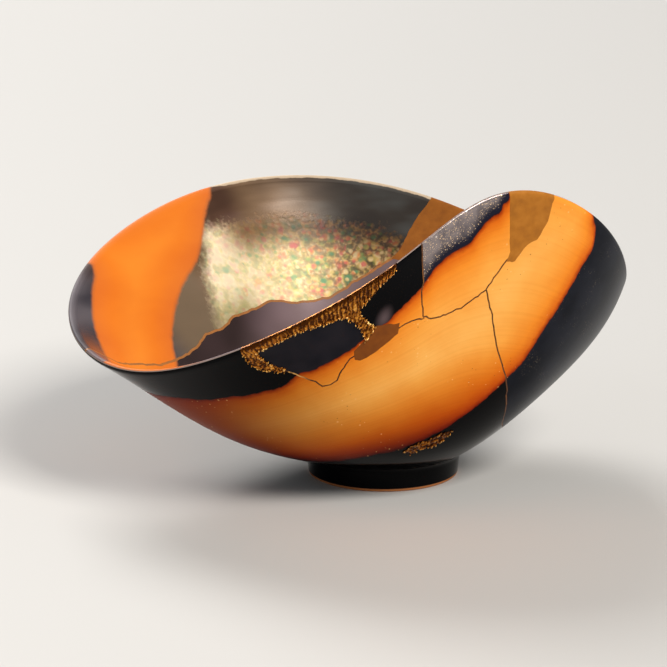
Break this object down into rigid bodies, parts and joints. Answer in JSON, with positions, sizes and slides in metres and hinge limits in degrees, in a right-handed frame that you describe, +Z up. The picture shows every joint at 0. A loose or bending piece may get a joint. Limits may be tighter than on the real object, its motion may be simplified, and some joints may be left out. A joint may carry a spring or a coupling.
{
  "type": "kintsugi bowl",
  "caption": "Warped, thrown ceramic bowl on a turned foot, broken into shards and mended with lacquer joints, lacquer fills and gold fills.",
  "frame": {"origin": "on the table plane, under the middle of the bowl's bounding box; the foot ring's own centre is 9.8 mm to +X and 7.7 mm to -Y of it", "axes": "+Z up; +X towards the bowl's right-hand end, where the wall stands tall; -Y towards the mended front; the row's X axis runs along the longer way of the bowl"},
  "size_m": [0.1606, 0.1483, 0.0915],
  "materials": {
    "body_glaze": "satin orange glaze over fired clay, with black and blue-black glaze bands",
    "black_glaze": "glossy black glaze",
    "lustre_glaze": "grey and mauve lustre glaze with gold and iridescent specks",
    "ochre_lacquer": "matt ochre lacquer fill",
    "brown_lacquer": "thin brown lacquer line",
    "gold": "granular gold over lacquer"
  },
  "bodies": {
    "root": {"bowl_body": "body_glaze", "shard_back": "lustre_glaze", "shard_right": "body_glaze", "shard_rim_left": "black_glaze", "shard_rim_middle": "black_glaze", "shard_rim_right": "lustre_glaze", "lacquer_fill_rim": "ochre_lacquer", "lacquer_fill_wedge": "ochre_lacquer", "lacquer_fill_back": "ochre_lacquer", "gold_fill_rim": "gold", "gold_fill_foot": "gold", "lacquer_joint_back": "brown_lacquer", "lacquer_joint_right": "brown_lacquer", "lacquer_joint_left": "brown_lacquer"}
  },
  "joints": []
}
